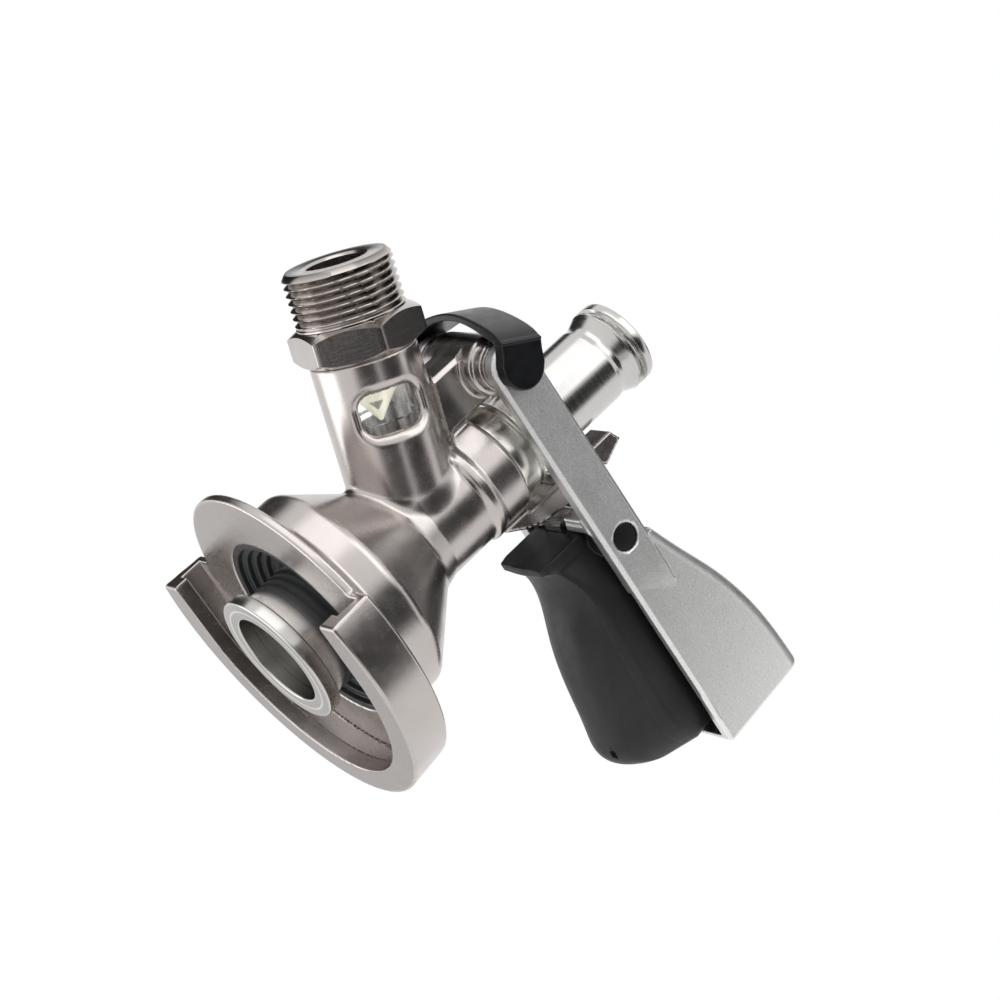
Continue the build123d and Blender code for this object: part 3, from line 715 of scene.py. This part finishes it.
def hexagon():
    # rows over the six-sided outline: bore, top face, chamfer, side, chamfer, bottom face, bore
    f = adaptor
    corner = f["hex"] / math.sqrt(3)
    turns = np.radians(f["hexTurn"] + 60 * np.arange(6))
    ring = roundedOutline(np.stack([corner * np.cos(turns), corner * np.sin(turns), 0.35 + 0 * turns], 1), 4)
    ring = np.concatenate([np.linspace(a, b, 14, endpoint=False) if np.linalg.norm(b - a) > 2 else a[None]
                           for a, b in zip(ring, np.roll(ring, -1, 0))])
    reach = np.linalg.norm(ring, axis=1)
    flat = ring / reach[:, None]
    face = flat * f["face"]
    drop = (reach - f["face"]) * math.tan(math.radians(30))
    low, top, edge = f["seat"], f["seat"] + f["hexHigh"], 0.12
    rows = [(flat * f["bore"], top), (flat * 11, top), (face, top), (ring, top - drop), (ring, top - drop - edge),
            (ring, low + drop + edge), (ring, low + drop), (face, low), (flat * 10, low), (flat * f["bore"], low)]
    points = np.concatenate([np.stack([p[:, 0], p[:, 1], z + 0 * p[:, 0]], 1) for p, z in rows])
    return onGas(points), gridFaces(len(rows), len(ring), True, True)


def inletThread():
    f = adaptor
    r, bore, top, low = f["thread"], f["bore"], f["end"], f["seat"] + f["hexHigh"] - 0.3
    side = [(r, z) for z in np.arange(low + 0.4, top - 1.45, 0.09)]
    foot = [(bore + 0.1, low), (f["root"], low), (f["root"], low + 0.3)]
    rim = [(r, top - 1.4), (r - 0.08, top - 1.25), (r - 1, top - 0.12), (r - 1.15, top), (bore + 0.75, top),
           (bore + 0.5, top - 0.1), (bore, top - 0.6)]
    return threaded(np.array(foot + side + rim), f, low + 0.7, top - 1.35, 0.4, onGas)


spigot = turned(roundedOutline([
    (adaptor["spigot"], adaptor["low"], 0.3), (adaptor["spigot"], adaptor["seat"] + 0.2, 0),
    (adaptor["bore"], adaptor["seat"] + 0.2, 0), (adaptor["bore"], adaptor["low"], 0.3)]), 96, onGas)
addSurface("gasAdaptor", [hexagon(), inletThread(), spigot], "body", ["gas_adaptor"], inletMetal, 30)
print("gas adaptor made")


# hinge: pin, washers, moulded clip

def ringAcross(line, inner, outer, ends, rounding, segments=64, arc=3):
    # a rod or washer that lies across the coupler between two values of y
    (low, high), (inside, outside) = ends, rounding
    corners = [(inner, low, inside), (outer, low, outside), (outer, high, outside), (inner, high, inside)]
    return turned(roundedOutline(corners, arc), segments, acrossAt(line))


def addPins(name, line, r, spans, node, material, body, rim=0.4, arc=3):
    rods = [ringAcross(line, 0.01, r, span, (0, rim), arc=arc) for span in spans]
    addSurface(name, rods, body, [node], material)


washer = {"in": 3.6, "out": 6, "spans": ((-14.5, -13.15), (13.15, 14.5)), "rounding": (0.15, 0.3)}
washers = [ringAcross(hinge, washer["in"], washer["out"], span, washer["rounding"], 72) for span in washer["spans"]]
addPins("hingePin", hinge, 3.45, [(-20.6, 20.6)], "hinge_pin", pinSteel, "body", 0.5, 5)
addSurface("hingeWashers", washers, "body", ["hinge_washers"], pinSteel)

clipForm = {"deg": 151, "out": 12.7, "thick": 1.8, "wide": 5.5, "capIn": 19.35, "capOut": 23.1, "cap": 5.6,
            "pinHole": 3.65, "pinEnd": 20.85, "capDeep": 3.2, "foot": 6, "shoulder": (0.82, 4), "crest": (0.42, 1.2)}


def archLine(out, side):
    # half of the arch is a spline from the cap to mid span, mirrored to the other cap
    (wideShare, wideDrop), (nearShare, nearDrop) = clipForm["shoulder"], clipForm["crest"]
    half = [(side, clipForm["foot"]), (side * wideShare, out - wideDrop), (side * nearShare, out - nearDrop)]
    ys, ps = np.array(half + [(0, out)] + [(-y, p) for y, p in half[::-1]]).T
    knot, t = np.arange(7), np.linspace(0, 6, 40)
    return np.stack([splineThrough(knot, ps, t), splineThrough(knot, ys, t)], 1)


clipBand = np.concatenate([archLine(clipForm["out"], clipForm["capOut"]),
                           archLine(clipForm["out"] - clipForm["thick"], clipForm["capOut"] - 2.6)[::-1]])


def clipField(x, y, z):
    # band bent over the hinge, joined to a D-shaped cap over each end of the pin
    f = clipForm
    c, s = cosSin(f["deg"])
    u, w = x - hinge["x"], z - hinge["z"]
    p, q = u * c + w * s, w * c - u * s
    band = roundMax(polygonField(clipBand, p, y), np.abs(q) - f["wide"], 0.5)
    flat = roundMax(slab(p, f["capDeep"], f["capDeep"]), np.abs(q) - f["wide"], 0.6)
    cup = roundMin(np.hypot(p, q) - f["cap"], flat, 0.8)
    cup = roundMax(cup, between(np.abs(y), f["capIn"], f["capOut"]), 0.6)
    hole = np.maximum(np.hypot(p, q) - f["pinHole"], np.abs(y) - f["pinEnd"])
    return np.maximum(roundMin(band, cup, 0.6), -hole)


addCasting("hingeClip", clipField, (-38.5, -24, 62.5), (-12.5, 24, 86), 0.32, 90000,
           "body", ["hinge_clip"], clipRubber)


# probe: sleeve, drive collar, outlet tube

probe = {"tip": -11, "tipR": 17.25, "tipHigh": 3.6, "sleeve": 14.85, "bore": 12.2, "boreTop": (4, 8),
         "sleeveTop": 11.6, "stem": 9.9, "stemBore": 7, "driveLow": 60.8, "driveTop": 78.2, "drive": 12.3,
         "groove": 3.4, "scribe": (5.2, 6.2), "tube": 10.3, "end": 107.9, "thread": 11.46, "threadRun": 2.9,
         "endBand": 2.3, "pitch": 1.814, "depth": 1.1}


def sleeveOutline():
    f = probe
    low, top, step = f["tip"], f["sleeveTop"], f["tip"] + f["tipHigh"]
    stem, high, (wideTop, boreLow) = f["stem"], f["driveLow"], f["boreTop"]
    return roundedOutline([
        (f["bore"], low, 0.5), (f["tipR"], low, 0.5), (f["tipR"], step, 0.4), (f["sleeve"], step, 0.3),
        (f["sleeve"], top, 0.9), (stem + 0.6, top + 3.2, 0), (stem, top + 4.6, 0), (stem, high, 0),
        (f["stemBore"], high, 0), (f["stemBore"], boreLow, 0), (f["bore"], wideTop, 0.4)])


def collarOutline():
    # a plain collar with one scribed line and the deep groove that the lever's pins run in
    f = probe
    low, top, r, deep = f["driveLow"], f["driveTop"], f["drive"], f["stem"] + 0.3
    lineLow, lineHigh = (low + h for h in f["scribe"])
    grooveLow, grooveHigh = hinge["z"] - f["groove"], hinge["z"] + f["groove"]
    return roundedOutline([
        (f["stemBore"], low, 0), (r - 0.4, low, 0.2), (r, low + 0.5, 0.2), (r, lineLow, 0.1),
        (r - 0.5, lineLow + 0.2, 0.1), (r - 0.5, lineHigh - 0.2, 0.1), (r, lineHigh, 0.1), (r, grooveLow, 0.25),
        (deep, grooveLow, 0.3), (deep, grooveHigh, 0.3), (r, grooveHigh, 0.25), (r, top - 1, 0.3),
        (r - 1, top, 0.3), (f["stemBore"], top, 0)], 3)


def outletTube():
    f = probe
    top, r, thread, bore = f["end"], f["tube"], f["thread"], f["stemBore"]
    start, bandLow = top - f["endBand"] - f["threadRun"], top - f["endBand"]
    neck = roundedOutline([(bore, f["driveTop"], 0), (r, f["driveTop"], 0), (r, start - 5.4, 1.5),
                           (r - 0.3, start - 4.2, 1.2), (r - 0.3, start - 3.1, 1.8), (thread - 0.25, start - 0.1, 0.3),
                           (thread, start + 0.3, 0)])
    side = np.array([(thread, z) for z in np.arange(start + 0.4, bandLow + 0.2, 0.07)])
    rim = np.array([(thread, top - 0.6), (thread - 0.15, top - 0.2), (thread - 0.5, top), (bore + 0.9, top),
                    (bore + 0.7, top - 0.1), (bore, top - 0.8)])
    return threaded(np.concatenate([neck, side, rim]), f, start + 0.25, bandLow + 0.1, 0.3)


addSurface("probeSleeve", [turned(sleeveOutline(), 220)], "probe", ["probe_sleeve"], satinTurned)
addSurface("driveCollar", [turned(collarOutline(), 180)], "probe", ["drive_collar"], collarMetal)
addSurface("outletTube", [outletTube()], "probe", ["outlet_tube"], polished)
print("probe made")


# lever

leverForm = {
    "x": (34.5, 44.2, 55.5, 68.8, 82.1, 93.3), "top": (79.3, 83.2, 88.1, 92.3, 94.5, 95.4),
    "low": (19, 19, 19, 18.9, 18.7, 18.4), "high": (18.9, 18.3, 17.5, 16.6, 15.7, 14.8),
    "crown": (0.4, 0.9, 1.4, 1.8, 2, 2), "wall": 2.8, "endWall": 1.9, "armIn": 14.8, "armOut": 19,
    "arm": 6, "armEnd": 53.5, "armSlant": 9.5, "bevel": 0.9, "mouth": 0.45, "floor": 65.5, "shoulder": 3.2,
    "sink": 0.95, "sinkFrom": 42, "pin": 3.5, "webLow": 65.7,
    "webLip": (23.3, 1.9, 69.4), "webWall": (24.2, 1, 74), "notch": (21.2, 6.5, 71.4),
}


def shieldSection(x, y, z, grow, floor):
    # leaning flanks, rounded shoulders and a domed roof, all drawn in by grow
    f = leverForm
    top, low, high = (splineThrough(f["x"], f[k], x) - grow for k in ("top", "low", "high"))
    crown = splineThrough(f["x"], f["crown"], x)
    lean = (high - low) / (top - floor)
    flank = (np.abs(y) - low - lean * (z - floor)) / np.sqrt(1 + lean ** 2)
    roof = (z - top - crown * (1 - (y / high) ** 2)) / np.sqrt(1 + 0.25 ** 2)
    return roundMax(flank, roof, f["shoulder"] - grow * 0.6)


def armField(x, y, z):
    # two flat arms from the hinge, slanted at their ends, where they sink into the shield's flanks
    f = leverForm
    rise, end, half = z - hinge["z"], f["armEnd"], f["arm"]
    slant = ((x - end) * 2 * half - (rise - half) * f["armSlant"]) / math.hypot(2 * half, f["armSlant"])
    reach = np.where(x < hinge["x"], rodField(hinge, half, x, z), np.maximum(np.abs(rise) - half, slant))
    sink = f["sink"] * np.clip((x - f["sinkFrom"]) / (end - f["sinkFrom"]), 0, 1.4) ** 1.5
    arm = bevelMax(reach, np.abs(y) - f["armOut"] + sink, f["bevel"])
    return roundMax(arm, f["armIn"] - np.abs(y), 0.4)


def webField(x, y, z):
    # a lip and a thin wall between the arms, with a notch that clears the latch post
    f = leverForm
    low = f["webLow"]
    plates = [roundMax(slab(x, at, half), between(z, low, top), 0.5) for at, half, top in (f["webLip"], f["webWall"])]
    start, half, top = f["notch"]
    notch = np.maximum(slotField(start, half, x, y), z - top)
    return roundMax(np.maximum(roundMin(*plates, 0.8), np.abs(y) - f["armIn"] - 0.5), -notch, 0.7)


def leverField(x, y, z):
    # hollow shield, arms and web, then both pins' holes, the trigger's with a bevelled mouth
    f = leverForm
    floor, start, end = f["floor"], f["x"][0], f["x"][-1]
    outer = roundMax(shieldSection(x, y, z, 0, floor), x - end, 1)
    outer = bevelMax(np.maximum(outer, start - x), floor - z, f["bevel"])
    inner = roundMax(shieldSection(x, y, z, f["wall"], floor - 3), x - end + f["endWall"], 0.8)
    shell = roundMax(outer, -np.maximum(inner, start - 1 - x), 0.3)
    solid = roundMin(np.minimum(shell, armField(x, y, z)), webField(x, y, z), 1.2)
    pin, hole = rodField(hinge, f["pin"], x, z), rodField(trigger, f["pin"], x, z)
    mouth = (np.abs(y) - f["armOut"] - hole + f["mouth"]) * 0.7071
    return np.maximum(solid, np.maximum(mouth, -np.minimum(pin, hole)))


addCasting("leverFrame", leverField, (-28.5, -20, 64.5), (94.4, 20, 98.4), 0.5, 170000,
           "lever", ["lever_frame"], dieCast)
addPins("triggerPin", trigger, 3.45, [(-18.3, 18.3)], "trigger_pin", darkSteel, "lever")
addPins("drivePins", driveLine, 2.5, [(-17.8, -10.55), (10.55, 17.8)], "drive_pins", pinSteel, "lever")

springForm = {"r": 4.4, "wire": 0.45, "turns": 3, "half": 2.1}


def springCoil():
    # a round wire of three turns: a circle carried along a helix round the trigger pin
    f, sides = springForm, 10
    t = np.linspace(0, 1, 40 * f["turns"])[:, None]
    around = np.linspace(0, 2 * math.pi, sides, endpoint=False)
    turn = t * 2 * math.pi * f["turns"]
    r = f["r"] + f["wire"] * np.cos(around)
    points = np.stack([r * np.cos(turn), r * np.sin(turn),
                       -f["half"] + t * 2 * f["half"] + f["wire"] * np.sin(around)], -1).reshape(-1, 3)
    cap = np.array([(k, k + 1, sides - 2 - k, sides - 1 - k) for k in range(sides // 2 - 1)])
    faces = np.concatenate([gridFaces(len(t), sides, False, True), cap[:, ::-1], cap + len(points) - sides])
    return acrossAt(trigger)(points), faces


addSurface("triggerSpring", [springCoil()], "lever", ["trigger_spring"], pinSteel)


# grip

gripForm = {
    "x": (28, 36.2, 48.4, 62.7, 75, 85.2, 89.5), "top": (67, 74.4, 76, 76.4, 76.2, 75.6, 74),
    "side": (55.3, 58.2, 58.5, 57.7, 57, 59, 62), "low": (52.7, 54.3, 49.7, 45.5, 43.2, 44.9, 51),
    "half": (9, 12, 13.8, 14.45, 14.45, 13.8, 12.2), "halfTop": (9, 11.6, 12.4, 12.2, 11.8, 11.2, 10.2),
    "fold": 0.22, "foldIn": 0.12, "hub": (5.2, 14.45), "pin": 3.5, "slot": (27, 9.6, 3.6, 71.1, 5.9),
    "plateAt": (27.2, 59.2), "plateHalf": (1, 9.4, 7.4),
    "dimple": (79.6, -4, 43.4), "dimpleHalf": (1.3, 0.7, 1.2),
}


def gripField(x, y, z):
    # lofted handle with a folded flank and round belly, flat front plate, hub round the pin, spring slot
    f = gripForm
    top, side, low, half, halfTop = (splineThrough(f["x"], f[k], x) for k in ("top", "side", "low", "half", "halfTop"))
    wide = np.abs(y)
    lean = (halfTop - half) / (top - side)
    flank = (wide - half - lean * (z - side)) / np.sqrt(1 + lean ** 2)
    deep = side - low
    drop, inset = f["fold"] * deep, f["foldIn"] * deep
    facet = ((wide - half) * drop + (side - z) * inset) / np.hypot(drop, inset)
    chord, sag = half - inset, deep - drop
    radius = (chord ** 2 + sag ** 2) / (2 * sag)
    belly = np.hypot(y, z - low - radius) - radius - 2 * np.maximum(z - side + drop, 0)
    section = roundMax(roundMax(roundMax(flank, facet, 0.5), belly, 0.35), z - top, 1.2)
    ends = roundMax(section, x - f["x"][-1], 2.6)
    solid = np.maximum(ends, f["x"][0] - 0.6 - x)
    thick, across, high = f["plateHalf"]
    plate = roundMax(wide - across, slab(z, f["plateAt"][1], high), 1.5)
    solid = roundMin(solid, roundMax(plate, slab(x, f["plateAt"][0], thick), 0.3), 2.5)
    hub = roundMax(rodField(trigger, f["hub"][0], x, z), wide - f["hub"][1], 0.3)
    solid = roundMin(solid, hub, 0.5)
    slotX, slotLong, slotWide, slotZ, slotHigh = f["slot"]
    slot = np.maximum(np.maximum(slab(x, slotX, slotLong), wide - slotWide), slab(z, slotZ, slotHigh))
    dimple = np.sqrt(sum(((v - at) / r) ** 2 for v, at, r in zip((x, y, z), f["dimple"], f["dimpleHalf"]))) - 1
    return np.maximum(solid, -np.minimum(np.minimum(slot, rodField(trigger, f["pin"], x, z)), dimple * 0.7))


addCasting("triggerGrip", gripField, (25, -15.5, 41.5), (90.6, 15.5, 78), 0.45, 140000,
           "trigger", ["trigger_grip"], gripPlastic)

for node, material in (("neck_bush", bushPlastic), ("neck_oring", sealRubber), ("sight_tube_seals", sealRubber),
                       ("adaptor_seal", sealRubber), ("trigger_catch", pinSteel)):
    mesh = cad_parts[node].data
    mesh.materials.clear()
    mesh.materials.append(material)
print("lever and grip made")


# studio: soft lamps, and dark cards that only reflections see, at angles from the camera

eye = {
    "focal": 2487.6, "frame": 1000, "sensor": 36,
    "right": (0.51146698, -0.53057471, 0.67593788),
    "up": (-0.76328865, 0.08079786, 0.64098529),
    "back": (-0.39470492, -0.84377852, -0.36365621),
    "at": (-0.22654, -0.50453, -0.15975), "middle": (0.01, 0, 0.045),
}
studio = {
    "ambient": 0.66, "floor": -11.5, "floorHalf": 3000, "floorColour": (0.8, 0.8, 0.79),
    # name: (turned right of the camera, raised above it, distance, width, height, watts)
    "lamps": {"topLamp": (-25, 62, 1, 0.9, 0.6, 1.45), "leftLamp": (-95, -22, 1.1, 0.6, 0.9, 2.8),
              "backLamp": (48, 44, 1.2, 0.9, 0.6, 2)},
    # name: (turned, raised, width, height, roll, share of the half width that fades, shade)
    "cards": {"frontCard": (4, -16, 0.95, 0.85, 0, 0.3, 0.05), "sideCard": (56, -4, 1, 0.85, 12, 0.25, 0.03),
              "rightCard": (122, 20, 1.15, 0.85, 0, 0.25, 0.04), "farCard": (-137, 31, 1.25, 0.8, 0, 0.3, 0.03),
              "lowCard": (-142, -32, 0.9, 0.7, 0, 0.6, 0.66)},
}


def fromCamera(turned, raised):
    a, b = math.radians(turned), math.radians(raised)
    right, up, back = (Vector(eye[k]) for k in ("right", "up", "back"))
    return right * math.sin(a) * math.cos(b) + up * math.sin(b) + back * math.cos(a) * math.cos(b)


def addLamps():
    for name, (turned, raised, away, wide, high, watts) in studio["lamps"].items():
        light = bpy.data.lights.new(name, "AREA")
        light.shape, light.size, light.size_y, light.energy = "RECTANGLE", wide, high, watts
        lamp = addObject(name, light)
        way = fromCamera(turned, raised)
        lamp.location = Vector(eye["middle"]) + way * away
        lamp.rotation_euler = way.to_track_quat("Z", "Y").to_euler()


def addCard(name, turned, raised, wide, high, roll, soft, shade):
    # a flat card a metre away, dark in reflections and white at its edges, out of sight otherwise
    material, shader, place = newFinish(name, (0, 0, 0))
    uv = place.node.outputs["UV"]
    centred = addNode(uv, "VectorMath", "Vector", {0: uv, 1: (2, 2, 0), 2: (-1, -1, 0)}, operation="MULTIPLY_ADD")
    across, up, _ = axesOf(addNode(uv, "VectorMath", "Vector", {0: centred}, operation="ABSOLUTE"))
    feed(shader, {"Specular IOR Level": 0, "Emission Color": (1, 1, 1, 1),
                  "Emission Strength": spread(mathOf("MAXIMUM", across, up), shade, 1, 1 - soft, 1)})
    way = fromCamera(turned, raised)
    side = way.cross(Vector(eye["up"])).normalized()
    side.rotate(Matrix.Rotation(math.radians(roll), 3, way))
    middle, rise = Vector(eye["middle"]) + way, side.cross(way)
    corners = [middle + side * wide * i / 2 + rise * high * j / 2 for i, j in ((-1, -1), (1, -1), (1, 1), (-1, 1))]
    mesh = bpy.data.meshes.new(name)
    mesh.from_pydata(corners, [], [(0, 1, 2, 3)])
    mesh.uv_layers.new().uv.foreach_set("vector", (0, 0, 1, 0, 1, 1, 0, 1))
    mesh.materials.append(material)
    card = addObject(name, mesh)
    card.visible_camera = card.visible_diffuse = card.visible_shadow = card.visible_transmission = False


def addFloor():
    # a pale floor, seen from above only
    material, shader, _ = newFinish("floor", studio["floorColour"], 0, 0.7)
    below = addNode(shader, "NewGeometry", "Backfacing", {})
    clear = addNode(shader, "BsdfTransparent", "BSDF", {})
    seen = addNode(shader, "MixShader", "Shader", {"Fac": below, 1: shader.outputs["BSDF"], 2: clear})
    feed(material.node_tree.nodes["Material Output"], {"Surface": seen})
    mesh = bpy.data.meshes.new("floor")
    far, height = studio["floorHalf"], studio["floor"]
    corners = [(-far, -far, height), (far, -far, height), (far, far, height), (-far, far, height)]
    fillMesh(mesh, np.array(corners, float), np.array([[0, 1, 2, 3]]))
    mesh.materials.append(material)
    floor = addObject("floor", mesh)
    floor.visible_glossy = False


def addWorld():
    # camera, mirrors and glass see white; diffuse light comes from a dimmer grey
    world = bpy.data.worlds.new("studioWorld")
    scene.world = world
    world.use_nodes = True
    background = world.node_tree.nodes["Background"]
    path = addNode(background, "LightPath", "Is Camera Ray", {}).node.outputs
    seen = mathOf("MAXIMUM", path["Is Camera Ray"], path["Is Glossy Ray"])
    seen = mathOf("MAXIMUM", seen, path["Is Transmission Ray"])
    feed(background, {"Strength": spread(seen, studio["ambient"], 1, 0, 1), "Color": (1, 1, 1, 1)})


def addCamera():
    camera = bpy.data.cameras.new("camera")
    camera.sensor_width = eye["sensor"]
    camera.lens = eye["focal"] / eye["frame"] * eye["sensor"]
    camera.clip_start = 0.01
    scene.camera = addObject("camera", camera)
    axes = Matrix([eye["right"], eye["up"], eye["back"]]).transposed()
    scene.camera.matrix_world = Matrix.Translation(eye["at"]) @ axes.to_4x4()


addWorld()
addFloor()
addLamps()
for name, card in studio["cards"].items():
    addCard(name, *card)
addCamera()
scene.view_settings.view_transform = "Standard"

print("studio ready")
